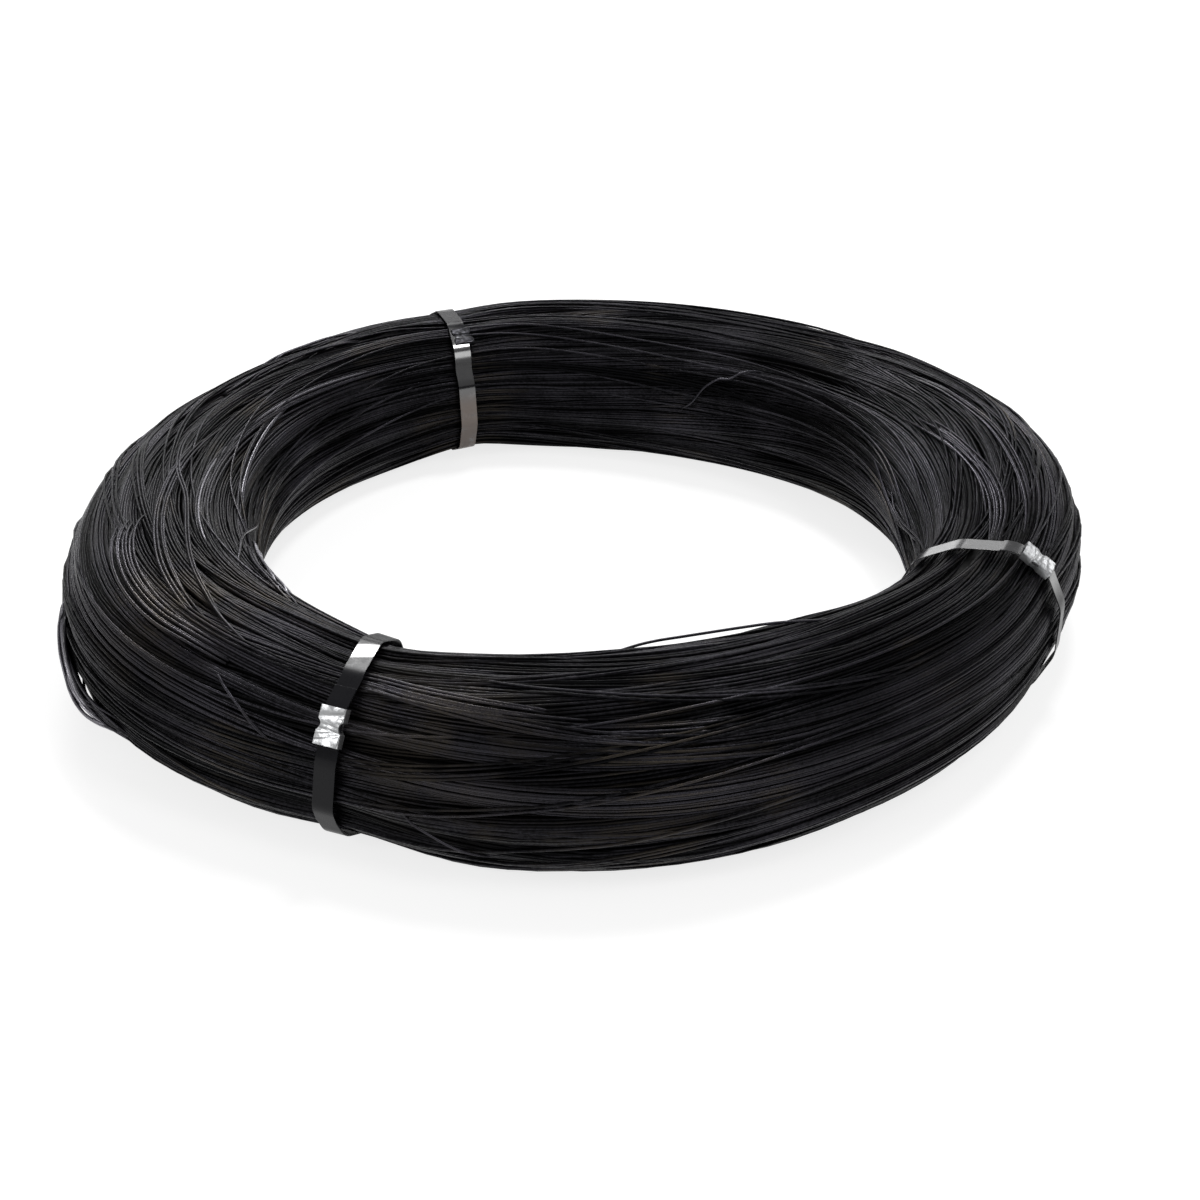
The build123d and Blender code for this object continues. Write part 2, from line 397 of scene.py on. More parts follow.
def wireRecipe(start):
    tone = start.written("tone")
    buried = start.written("buried")
    flecks = start.noise(700, 2).between(0.35, 0.75)
    patches = start.noise(22, 3).between(0.4, 0.7)
    some = (7.3 * tone).math("SINE").between(0.0, 0.7)
    spots = sum(start.near(place, reach) for place, reach in wireLook["stained"])
    stains = some * start.noise(16, 4).between(0.52, 0.68) + spots * start.noise(60, 3).between(0.3, 0.6)
    paleness = (0.3 + 0.22 * tone + 0.35 * patches - 0.25 * flecks).between(0.0, 1.0)
    color = paleness.mix(wireLook["dark"], wireLook["pale"])
    # Painted highlight: turns with a tone from 2.6 up are coloured silvery grey for the light they catch
    color = tone.between(2.6, 3.4).mix(color, wireLook["paintedHighlight"])
    color = (stains * (0.4 + 0.4 * flecks)).mix(color, wireLook["khaki"])
    # Painted shade: the deeper a turn lies, the nearer its colour goes to black
    color = (buried * 0.75).mix(color, wireLook["shade"])
    return {
        "Base Color": color,
        "Roughness": wireLook["shine"] + 0.2 * flecks + 0.08 * buried - 0.05 * tone,
        "Normal": start.noise(1500, 2).bump(0.25, 0.1 * millimetre),
    }


wireMaterial = finish("blackWire", {"Metallic": wireLook["metallic"], "Specular IOR Level": 0.09}, wireRecipe)


# Layers of turns, each one run of wire that goes round and round, from the deepest to the outermost. Stops
# are points in a turn, depth and drift are in mm, groups in turns, and the other measures in wires
layers = [
    {"name": "turns_lowest", "seed": 3, "sides": 4, "stops": 96, "depth": 2.9, "group": (8, 16),
     "gap": (0.1, 0.5), "pitch": 1.06, "drift": 2.0, "sway": 0.15, "heave": 0.15, "waves": 0.3,
     "rounded": 0.3},
    {"name": "turns_low", "seed": 5, "sides": 6, "stops": 88, "depth": 1.7, "group": (5, 14),
     "gap": (0.8, 2.2), "pitch": 1.04, "drift": 5.0, "sway": 0.22, "heave": 0.15, "waves": 0.35,
     "rounded": 0.9},
    {"name": "turns_high", "seed": 8, "sides": 6, "stops": 112, "depth": 0.75, "group": (4, 13),
     "gap": (2.0, 7.0), "pitch": 1.04, "drift": 8.0, "sway": 0.3, "heave": 0.2, "waves": 0.35,
     "rounded": 1.1},
    {"name": "turns_top", "seed": 13, "sides": 6, "stops": 120, "depth": 0.1, "group": (1, 4),
     "gap": (6.0, 15.0), "pitch": 1.2, "drift": 13.0, "sway": 0.4, "heave": 0.2, "waves": 0.35,
     "rounded": 0.6},
]


# Where a layer's turns lie round the bundle: in strands that are rounded, with a tone of their own
def slotsOf(layer, draw):
    slots = []
    at = 0.0
    while at < girth:
        size = draw.integers(layer["group"][0], layer["group"][1] + 1)
        tone = draw.normal()
        for each in range(size):
            edge = 2 * (each + 0.5) / size - 1
            shade = np.clip(0.8 * tone + 0.6 * draw.normal(), -2, 2)
            slots.append((at / girth, edge ** 2 * min(size, 8) / 8, shade))
            at += wire["thickness"] * layer["pitch"]
        at += wire["thickness"] * draw.uniform(*layer["gap"])
    return np.array([slot for slot in slots if slot[0] < 1 - wire["thickness"] / girth])


# Depth that the straps leave: under them no turn stands above the skin, and elsewhere only so far
def pressed(depth, at, proud):
    depth = depth + wire["press"] * nearTie(at, wire["pressReach"])
    tied = np.minimum(nearTie(at, wire["tiedReach"]), 1)
    return np.maximum(depth, wire["tiedDepth"] * wire["thickness"] * tied - proud * (1 - tied))


# 0 for a wire on the skin, 1 for one so deep that it is black with shade
def burial(depth):
    return np.clip(depth / wire["darkAt"], 0, 1)


# Wires stay in the box of the solid coil, and on the floor
def grounded(points):
    low = (cadLow.x + wire["inset"], cadLow.y + wire["inset"], wire["thickness"] * wire["aboveFloor"])
    high = (cadHigh.x - wire["inset"], cadHigh.y - wire["inset"], cadHigh.z - wire["inset"])
    return np.clip(points, low, high)


def layTurns(layer):
    draw = np.random.default_rng(layer["seed"])
    slots = slotsOf(layer, draw)
    count = len(slots)
    slots = np.vstack([slots, slots[0] + (1, 0, 0)])
    stops = count * layer["stops"]
    lane = np.arange(stops) // layer["stops"]
    along = np.arange(stops) % layer["stops"] / layer["stops"]
    at = along + draw.uniform()
    ease = along * along * (3 - 2 * along)
    place, rounded, tone = (slots[lane] * (1 - ease[:, None]) + slots[lane + 1] * ease[:, None]).T
    sideways = drift(layer["seed"] + 100, layer["drift"] * millimetre)(at, place)
    place = place + (sideways + layer["sway"] * wire["thickness"] * wander(draw, count * 9, stops)) / girth
    waves = drift(layer["seed"] + 200, 1.0, rounds=(2, 3, 5, 7), acrosses=(1, 4, 9, 14))(at, place)
    depth = layer["depth"] * millimetre + wire["thickness"] * (
        layer["rounded"] * rounded + layer["heave"] * wander(draw, count * 6, stops) + layer["waves"] * waves)
    depth = pressed(depth, at, wire["proud"] * wire["thickness"])
    dive = np.linspace(0, wire["endDive"], wire["endStops"])
    depth[:len(dive)] += dive[::-1]
    depth[-len(dive):] += dive
    return {"points": grounded(onSkin(at, place, depth)), "lane": lane, "along": along, "tone": tone,
            "buried": burial(depth)}


for layer in layers:
    turns = layTurns(layer)
    piece = wireMesh([turns], layer["sides"])
    hand(piece, layer["name"], "wire_coil", wireMaterial)
    print(layer["name"], "laid,", turns["lane"][-1] + 1, "turns,", len(piece.data.polygons), "faces")


# Stray strands: a few turns side by side that cross the others on a slant and dive under again at both ends
strays = {
    "seed": 21,
    "count": 34,
    "wires": (1, 6),
    "reach": (0.1, 0.42),      # of a turn
    "slant": 13 * millimetre,  # how far they climb round the bundle
    "rise": (0.7, 1.9),        # depth of the middle, in wires
    "endDepth": 3.2,           # added at the two ends, in wires
    "stopsInTurn": 120,
}

# How the wires of one strand are made and lie beside each other
strandLie = {
    "sides": 6,                # of each wire
    "pitch": 1.1,              # in wires
    "uneven": 0.3,             # in pitches
    "parting": (0.35, 0.25),   # how far the strand opens or closes on its way, steadily and in waves
    "sway": 0.2,               # in wires
    "heave": 0.15,             # in wires
    "dive": 10 * millimetre,   # steepness of the ends, from a share of the way out on
    "diveFrom": (0.6, 1.0),
    "diveUneven": 0.35,
    "toneUneven": 0.5,
    "proud": 12 * millimetre,  # how far a strand may stand off
}


def strandRuns(at, place, depth, wires, draw, lane, tone):
    runs = []
    stops = len(at)
    way = np.linspace(-1, 1, stops)
    spread = np.sort(draw.normal(size=wires) * strandLie["uneven"] + np.arange(wires)) - (wires - 1) / 2
    steady, waves = strandLie["parting"]
    for each in range(wires):
        parting = 1 + steady * draw.normal() * way + waves * wander(draw, stops / 30, stops)
        sway = strandLie["sway"] * wander(draw, stops / 22, stops)
        aside = wire["thickness"] * (strandLie["pitch"] * spread[each] * parting + sway)
        out = np.abs(way + strandLie["diveUneven"] * draw.normal())
        dive = strandLie["dive"] * np.clip(out - draw.uniform(*strandLie["diveFrom"]), 0, 1)
        sunk = depth + dive + wire["thickness"] * strandLie["heave"] * wander(draw, stops / 16, stops)
        sunk = pressed(sunk, at, strandLie["proud"])
        runs.append({
            "points": grounded(onSkin(at, place + aside / girth, sunk, tautSkin)),
            "lane": np.full(stops, lane + each),
            "along": np.arange(stops) / strays["stopsInTurn"],
            "tone": np.full(stops, tone + strandLie["toneUneven"] * draw.normal()),
            "buried": burial(sunk),
        })
    return runs


def strayRuns():
    draw = np.random.default_rng(strays["seed"])
    runs = []
    for _ in range(strays["count"]):
        reach = draw.uniform(*strays["reach"])
        stops = max(8, int(reach * strays["stopsInTurn"]))
        way = np.linspace(-1, 1, stops)
        at = draw.uniform() + reach * way / 2
        place = draw.uniform() + draw.normal() * strays["slant"] / girth * way / 2
        depth = wire["thickness"] * (draw.uniform(*strays["rise"]) + strays["endDepth"] * np.abs(way) ** 6)
        wires = draw.integers(strays["wires"][0], strays["wires"][1] + 1)
        runs += strandRuns(at, place, depth, wires, draw, len(runs), draw.normal())
    return runs


piece = wireMesh(strayRuns(), strandLie["sides"])
hand(piece, "strands_crossing", "wire_coil", wireMaterial)
print("crossing strands laid,", len(piece.data.polygons), "faces")

# Strands that the photo shows one by one: degrees round the coil, degrees over the bundle (0 outside, 90 top,
# 180 bore) and the lift off the skin in mm
namedSeed = 5
# High tones paint highlights on these strands: the higher the tone the paler the wires, silvery grey from 2.6
# up
namedStrands = [
    {"wires": 2, "tone": 1.6, "way": [(160, 92, -3), (172, 95, -0.6), (183, 103, -0.2), (194, 113, -0.2),
                                      (206, 108, -0.2), (218, 92, -0.3), (230, 70, -0.4), (242, 52, -3)]},
    {"wires": 4, "tone": 1.3, "way": [(165, 106, -3), (178, 104, -0.7), (192, 99, -0.3), (206, 90, -0.3),
                                      (219, 76, -0.3), (231, 60, -3)]},
    {"wires": 8, "tone": 1.9, "way": [(196, 78, -3), (202, 70, -0.3), (208, 64, 0.2), (214, 60, 0.4),
                                      (220, 57, 0.3), (225.5, 56, 0), (231, 54, -3)]},
    {"wires": 7, "tone": 1.9, "way": [(243, 72, -3), (248, 67, -0.3), (253, 62, 0), (258, 58, 0.1),
                                      (264, 54, -0.3), (271, 50, -3)]},
    {"wires": 4, "tone": 2.9, "way": [(197, 2, -2), (201, -4, 0.8), (204, -13, 3.2), (206.5, -22, 5),
                                      (209, -31, 6.5), (212, -38, 2.5), (216, -44, -2)]},
    {"wires": 5, "tone": 2.7, "way": [(196, -2, -2), (200.5, -8, 1.2), (204, -16, 2.8), (206.5, -25, 4.2),
                                      (209, -32, 4.5), (212.5, -39, 1.2), (217, -45, -2)]},
    {"wires": 3, "tone": 3.0, "way": [(198, 4, -2), (202, -3, 0.5), (205, -11, 1.9), (207.5, -20, 3.4),
                                      (210, -28, 4), (213, -35, 1), (218, -42, -2)]},
    {"wires": 3, "tone": 2.4, "way": [(199, 0, -2), (203, -9, 1.2), (206, -17, 2.8), (208.5, -26, 3.5),
                                      (211.5, -33, 1.5), (216, -40, -2)]},
    {"wires": 3, "tone": 2.0, "way": [(200, 8, -2), (204, -2, 0.3), (207, -11, 1.2), (210, -20, 1.8),
                                      (213, -29, 0.8), (217, -37, -2)]},
    {"wires": 2, "tone": 2.5, "way": [(197, -6, -2), (201, -12, 1.2), (205, -21, 3.2), (208, -30, 4.2),
                                      (211, -36, 2), (215, -42, -2)]},
    {"wires": 3, "tone": 2.1, "way": [(199, -4, -2), (203, -12, 1), (206, -20, 2), (209, -27, 2.4),
                                      (212, -34, 1), (216, -41, -2)]},
    {"wires": 3, "tone": 2.6, "way": [(200, 2, -2), (204, -6, 0.8), (207, -14, 2), (209.5, -22, 3),
                                      (212, -30, 2), (216, -38, -2)]},
    {"wires": 4, "tone": 1.7, "way": [(202, 4, -2), (205.5, -4, 0.6), (208, -12, 1.6), (211, -20, 2.2),
                                      (214, -28, 1.2), (218, -36, -2)]},
    {"wires": 3, "tone": 2.8, "way": [(198, -1, -2), (202, -8, 1), (205.5, -17, 3.4), (208, -26, 4.8),
                                      (210.5, -33, 3.2), (215, -41, -2)]},
    {"wires": 6, "tone": 3.3, "way": [(190, 176, -3), (195, 170, -0.2), (199, 168, 0.3), (204, 165, 1.2),
                                      (209, 160, 1.5), (214, 153, 1), (220, 146, 0), (226, 138, -3)]},
    {"wires": 3, "tone": 2.3, "way": [(198, 158, -2), (205, 150, 0), (212, 143, 0.1), (220, 136, -0.1),
                                      (229, 128, -3)]},
    {"wires": 1, "tone": 1.5, "way": [(180, 174, -3), (188, 166, 0.5), (198, 151, 0.9), (210, 134, 0.5),
                                      (218, 126, -3)]},
    {"wires": 1, "tone": 1.8, "way": [(250, -4, -3), (253, -12, 0), (256, -21, 0.3), (259, -30, 0),
                                      (262, -38, -3)]},
    {"wires": 3, "tone": 3.0, "way": [(123, 74, -3), (129, 72, -0.2), (134, 70, 0), (139, 68, -0.2),
                                      (145, 66, -3)]},
    {"wires": 1, "tone": 1.5, "way": [(226, 58, -2), (228.5, 50, 0.3), (231.5, 40, 0.7), (234.5, 30, 0.7),
                                      (237, 20, 0.4), (240, 8, -2)]},
    {"wires": 1, "tone": 1.0, "way": [(272, 142, -3), (279, 134, 0.6), (285, 126, 1.1), (292, 119, 1.3),
                                      (298, 111, 0.8), (306, 104, -3)]},
    {"wires": 1, "tone": 2.2, "way": [(67, 184, -3), (64, 176, 0.4), (61, 163, 1.8), (58.5, 155, 1.8),
                                      (56, 153, 2.2), (53.5, 147, 1.4), (49, 138, -3)]},
    {"wires": 6, "tone": 2.1, "way": [(16, 127, -3), (7, 121, -0.4), (358, 112, -0.2), (350, 100, -0.2),
                                      (343, 92, -0.3), (334, 86, -3)]},
    {"wires": 3, "tone": 2.3, "way": [(10, 124, -3), (3, 119, -0.1), (356, 112, 0.0), (349, 104, -0.2),
                                      (342, 98, -3)]},
    {"wires": 3, "tone": 1.4, "way": [(20, 160, -3), (8, 174, -0.2), (358, 178, 0.1), (349, 172, -0.2),
                                      (341, 164, -3)]},
    {"wires": 4, "tone": 1.2, "way": [(30, 98, -3), (18, 94, -0.5), (6, 88, -0.2), (355, 81, -0.2),
                                      (346, 72, -0.3), (336, 62, -3)]},
    {"wires": 3, "tone": 1.2, "way": [(124, 96, -3), (131, 91, -0.3), (138, 87, 0.1), (146, 84, -0.3),
                                      (154, 80, -3)]},
    {"wires": 4, "tone": 0.6, "way": [(246, 68, -2), (253, 60, -0.4), (262, 50, -0.3), (276, 38, -0.4),
                                      (290, 32, -3)]},
    {"wires": 3, "tone": 0.3, "way": [(254, 86, -3), (268, 72, -0.5), (284, 58, -0.3), (300, 48, -0.4),
                                      (316, 42, -3)]},
    {"wires": 5, "tone": 1.6, "way": [(199, 2, -3), (203, -6, -0.6), (207, -12, 0.6), (211, -18, 0.8),
                                      (216, -26, -1.5), (220, -34, -3)]},
    {"wires": 6, "tone": 1.3, "way": [(199, -8, -3), (204, -13, -1.2), (208, -19, 0), (212, -25, 0.2),
                                      (217, -33, -1.5), (221, -38, -3)]},
]


# A smooth way through a few places
def throughPlaces(places, perPlace=7):
    ends = np.vstack([2 * places[0] - places[1], places, 2 * places[-1] - places[-2]])
    parts = []
    for start in range(len(places) - 1):
        a, b, c, d = ends[start:start + 4]
        f = np.linspace(0, 1, perPlace, endpoint=False)[:, None]
        parts.append(b + 0.5 * f * (c - a + f * (2 * a - 5 * b + 4 * c - d + f * (3 * (b - c) + d - a))))
    return np.vstack(parts + [places[-1:]])


def namedRuns():
    draw = np.random.default_rng(namedSeed)
    runs = []
    for strand in namedStrands:
        angles = np.unwrap([math.radians(stop[0]) for stop in strand["way"]]) / fullTurn
        places = np.array([[turn, placeOf(turn, lean), -lift * millimetre]
                           for turn, (_, lean, lift) in zip(angles, strand["way"])])
        way = throughPlaces(places)
        runs += strandRuns(way[:, 0], way[:, 1], way[:, 2], strand["wires"], draw, len(runs), strand["tone"])
    return runs


piece = wireMesh(namedRuns(), strandLie["sides"])
hand(piece, "strands_seen", "wire_coil", wireMaterial)
print("strands of the photo laid,", len(piece.data.polygons), "faces")

# The core: filling below the lowest turns, so that no light comes through the bundle; its near-black colour
# is painted shade deep in the bundle
core = {
    "radius": 197 * millimetre,
    "height": 42 * millimetre,
    "thickness": 28 * millimetre,    # of the ring that is blown up to the solid coil
    "search": 30 * millimetre,       # how far it looks for the coil
    "below": 5.2 * millimetre,       # how far under the coil's skin it stays
    "dark": grey(0.0015),
    "pale": grey(0.006),
}


def coreRecipe(start):
    return {
        "Base Color": start.noise(300, 2).mix(core["dark"], core["pale"]),
        "Roughness": 0.6 + 0.3 * start.noise(500, 2),
    }


coreMaterial = finish("bundlePaintedShade", {"Metallic": 0.0, "Specular IOR Level": 0.2}, coreRecipe)
bpy.ops.object.select_all(action="DESELECT")
bpy.ops.mesh.primitive_torus_add(major_segments=192, minor_segments=64, major_radius=core["radius"],
                                 minor_radius=core["thickness"],
                                 location=coilAxis + Vector((0, 0, core["height"])))
piece = bpy.context.active_object
bpy.ops.object.transform_apply(location=True, rotation=True, scale=True)
wrap = piece.modifiers.new("wrap", "SHRINKWRAP")
wrap.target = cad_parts["wire_coil"]
wrap.wrap_method = "PROJECT"
wrap.wrap_mode = "INSIDE"
wrap.use_negative_direction = False
wrap.use_positive_direction = True
wrap.offset = -core["below"]
wrap.project_limit = core["search"]
bpy.ops.object.modifier_apply(modifier="wrap")
bpy.ops.object.shade_smooth()
hand(piece, "turns_core", "wire_coil", coreMaterial)
print("core made")


# A tie's own directions: outward from the coil's axis, up, and onward along the turns
def tieFrame(tie):
    turn = tieTurns[tie] * fullTurn
    outward = Vector((math.cos(turn), math.sin(turn), 0))
    low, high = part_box("strap_" + tie)
    up = Vector((0, 0, 1))
    center = (low + high) / 2
    middle = coilAxis + outward * (center - coilAxis).dot(outward) + up * center.z
    return middle, outward, up, outward.cross(up)


# Where a tie's seal sits: its middle, the way the strap runs there and the way it faces
def sealFrame(tie):
    middle, outward, up, onward = tieFrame(tie)
    corners = [v.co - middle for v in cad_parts["seal_" + tie].data.vertices]
    flat = np.array([(c.dot(outward), c.dot(up)) for c in corners])
    center = (flat.min(0) + flat.max(0)) / 2
    along = np.linalg.svd(flat - flat.mean(0), full_matrices=False)[2][0]
    face = np.array([along[1], -along[0]])
    face = face * np.sign(face @ center)
    depth = flat @ face
    center = center + face * ((depth.max() + depth.min()) / 2 - center @ face)
    return (middle + outward * center[0] + up * center[1], (outward * along[0] + up * along[1]).normalized(),
            (outward * face[0] + up * face[1]).normalized(), depth.max() - depth.min())


# Straps: a hoop blown up from inside until it meets the solid strap, with the lapped end laid on it
strap = {
    "width": 9.5 * millimetre,
    "thickness": 0.5 * millimetre,
    "steps": 200,
    "start": 20 * millimetre,        # radius of the hoop before it is blown up
    "target": 0.98,                  # its width then, as a share, clear of the solid's rounded edges
    "lapBefore": 8.5 * millimetre,
    "lapAfter": 15.5 * millimetre,
    "lapLift": 1.08,                 # in thicknesses
    "lapDepth": 20 * millimetre,     # the lap keeps only what lies nearer to the seal's face than this
    "edge": 0.09 * millimetre,
    # How far the run strays along the turns: degrees over the bundle and mm
    "slant": {
        "back": ((-90, 2), (60, 0), (100, 0.5), (150, 4), (270, 2)),
        "front": ((-90, -3), (-30, -5), (20, 0), (70, 0), (110, -6), (150, -9), (270, -3)),
        "right": ((-90, -4), (0, 0), (62, 0), (80, -4), (110, -9), (150, -11), (270, -4)),
    },
}


def hoop(tie):
    middle, outward, up, onward = tieFrame(tie)
    bpy.ops.object.select_all(action="DESELECT")
    bpy.ops.mesh.primitive_cylinder_add(vertices=strap["steps"], radius=strap["start"],
                                        depth=strap["width"] * strap["target"],
                                        end_fill_type="NOTHING", location=middle,
                                        rotation=Matrix((outward, up, onward)).transposed().to_euler())
    piece = bpy.context.active_object
    bpy.ops.object.transform_apply(location=True, rotation=True, scale=True)
    wrap = piece.modifiers.new("wrap", "SHRINKWRAP")
    wrap.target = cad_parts["strap_" + tie]
    wrap.wrap_method = "PROJECT"
    wrap.use_negative_direction = False
    wrap.use_positive_direction = True
    bpy.ops.object.modifier_apply(modifier="wrap")
    bpy.ops.object.mode_set(mode="EDIT")
    bpy.ops.mesh.select_all(action="SELECT")
    bpy.ops.mesh.normals_make_consistent(inside=False)
    bpy.ops.object.mode_set(mode="OBJECT")
    return piece


# Slides a band along the turns, as far as its tie's slant says, and keeps it on the bundle
def slanted(piece, tie):
    middle, outward, up, onward = tieFrame(tie)
    points = np.array([v.co for v in piece.data.vertices]) - np.array(coilAxis)
    radius = np.hypot(points[:, 0], points[:, 1])
    turn = np.arctan2(points[:, 1], points[:, 0])
    lean = np.degrees(np.arctan2(points[:, 2] - middle.z, radius - (middle - coilAxis).dot(outward)))
    lean = np.where(lean < -90, lean + 360, lean)
    stops, slides = np.array(strap["slant"][tie]).T
    slid = turn + np.interp(lean, stops, slides) * millimetre / radius
    place = placeOf(tieTurns[tie], lean)
    nothing = np.zeros(len(place))
    before = onSkin(turn / fullTurn, place, nothing, tautSkin) - np.array(coilAxis)
    after = onSkin(slid / fullTurn, place, nothing, tautSkin) - np.array(coilAxis)
    radius = radius + np.hypot(after[:, 0], after[:, 1]) - np.hypot(before[:, 0], before[:, 1])
    height = points[:, 2] + after[:, 2] - before[:, 2]
    moved = np.stack([radius * np.cos(slid), radius * np.sin(slid), height], 1) + np.array(coilAxis)
    piece.data.vertices.foreach_set("co", moved.ravel())
    piece.data.update()


def thicken(piece):
    selectOnly(piece)
    wall = piece.modifiers.new("wall", "SOLIDIFY")
    wall.thickness = strap["thickness"]
    wall.offset = 1.0
    bpy.ops.object.modifier_apply(modifier="wall")
    edges = piece.modifiers.new("edges", "BEVEL")
    edges.width = strap["edge"]
    edges.segments = 2
    edges.limit_method = "ANGLE"
    edges.angle_limit = math.radians(50)
    bpy.ops.object.modifier_apply(modifier="edges")
    bpy.ops.object.shade_smooth()
    flats = piece.modifiers.new("flats", "WEIGHTED_NORMAL")
    flats.weight = 100
    bpy.ops.object.modifier_apply(modifier="flats")


def makeStrap(tie, material):
    center, along, face, depth = sealFrame(tie)
    band = hoop(tie)
    selectOnly(band)
    bpy.ops.object.duplicate()
    lap = bpy.context.active_object
    bpy.ops.object.mode_set(mode="EDIT")
    for spot, way in ((center - face * strap["lapDepth"], face), (center - along * strap["lapBefore"], along),
                      (center + along * strap["lapAfter"], -along)):
        bpy.ops.mesh.select_all(action="SELECT")
        bpy.ops.mesh.bisect(plane_co=spot, plane_no=way, clear_inner=True)
    bpy.ops.mesh.select_all(action="SELECT")
    bpy.ops.transform.shrink_fatten(value=strap["thickness"] * strap["lapLift"])
    bpy.ops.object.mode_set(mode="OBJECT")
    slanted(lap, tie)
    slanted(band, tie)
    thicken(lap)
    thicken(band)
    lap.select_set(True)
    bpy.ops.object.join()
    hand(band, "band_" + tie, "strap_" + tie, material)
    print("strap", tie, "made,", len(band.data.polygons), "faces")


# Lacquered steel strip: black, a little streaked, worn to grey in places, and glossy above a height and
# between two places from front to back. The pale brown low on the back strap is partly dust and partly
# painted reflection of the floor; the right strap's extra grey wear is partly a painted sheen. Beyond means
# off the coil, so no limit
beyond = 1.0
strapLook = {
    "black": (0.012, 0.012, 0.014, 1),
    "worn": (0.16, 0.155, 0.165, 1),
    "dustAndReflection": (0.4, 0.33, 0.29, 1),
    "fixed": {"Specular IOR Level": 0.12, "Coat Roughness": 0.15, "Coat IOR": 2.0},
    "back": {"name": "strapDustAndReflection", "wear": -0.05, "dustAndReflectionBelow": 0.046, "glossAbove": -beyond,
             "glossFrom": -beyond, "glossTo": 0.17},
    "front": {"name": "strapBlack", "wear": -0.12, "dustAndReflectionBelow": -beyond, "glossAbove": 0.066,
              "glossFrom": -0.1765, "glossTo": -0.171},
    # The right strap wears more: its grey is partly wear and partly a painted sheen of the light along its
    # top
    "right": {"name": "strapWornSheen", "wear": 0.04, "dustAndReflectionBelow": -beyond, "glossAbove": 0.058,
              "glossFrom": -beyond, "glossTo": beyond},
}


def strapFinish(tie):
    look = strapLook[tie]

    def recipe(start):
        height = start.place("Z")
        toBack = start.place("Y")
        gloss = height.between(look["glossAbove"] - 0.006, look["glossAbove"] + 0.006)
        gloss = gloss * toBack.between(look["glossFrom"] - 0.003, look["glossFrom"] + 0.001)
        gloss = gloss * (1 - toBack.between(look["glossTo"] - 0.001, look["glossTo"] + 0.003))
        worn = (start.noise(90, 4) + look["wear"]).between(0.55, 0.8)
        color = worn.mix(strapLook["black"], strapLook["worn"])
        # Low on the back strap: pale brown, partly dust and partly painted reflection of the white floor
        low = 1 - height.between(look["dustAndReflectionBelow"] - 0.008, look["dustAndReflectionBelow"] + 0.004)
        dustAndReflectionMask = low * start.noise(160, 5).between(0.25, 0.5)
        return {
            "Base Color": (dustAndReflectionMask * 0.8).mix(color, strapLook["dustAndReflection"]),
            "Metallic": 0.2 * worn * (1 - dustAndReflectionMask),
            "Roughness": 0.2 + 0.16 * start.noise(260, 3) + 0.4 * dustAndReflectionMask,
            "Coat Weight": gloss * (1 - 0.75 * dustAndReflectionMask),
            "Normal": start.noise(120, 3).bump(0.2, 0.2 * millimetre),
        }

    return finish(look["name"], strapLook["fixed"], recipe)


for tie in ties:
    makeStrap(tie, strapFinish(tie))

# Seals: a folded sleeve, open at both ends, with a notch crimped into each side and dents across its face
seal = {
    "length": 15.4 * millimetre,
    "width": 11.0 * millimetre,
    "fold": 0.7 * millimetre,
    "wall": 0.7 * millimetre,
    "mouth": 0.7,                    # where the open ends' floor lies, as a share of the half length
    "notch": 2.6 * millimetre,       # radius
    "notchDepth": 1.5 * millimetre,
    "creaseRadius": 0.3,             # as a share of the length
    # Place in mm, slant in degrees and depth in mm
    "creases": ((-3.6, 14.0, 0.22), (0.0, -9.0, 0.4), (3.8, 11.0, 0.25)),
    "edge": 0.12 * millimetre,
}


def cutWith(piece, cutter):
    selectOnly(piece)
    cut = piece.modifiers.new("cut", "BOOLEAN")
    cut.operation = "DIFFERENCE"
    cut.object = cutter
    cut.solver = "EXACT"
    bpy.ops.object.modifier_apply(modifier="cut")
    bpy.data.objects.remove(cutter)


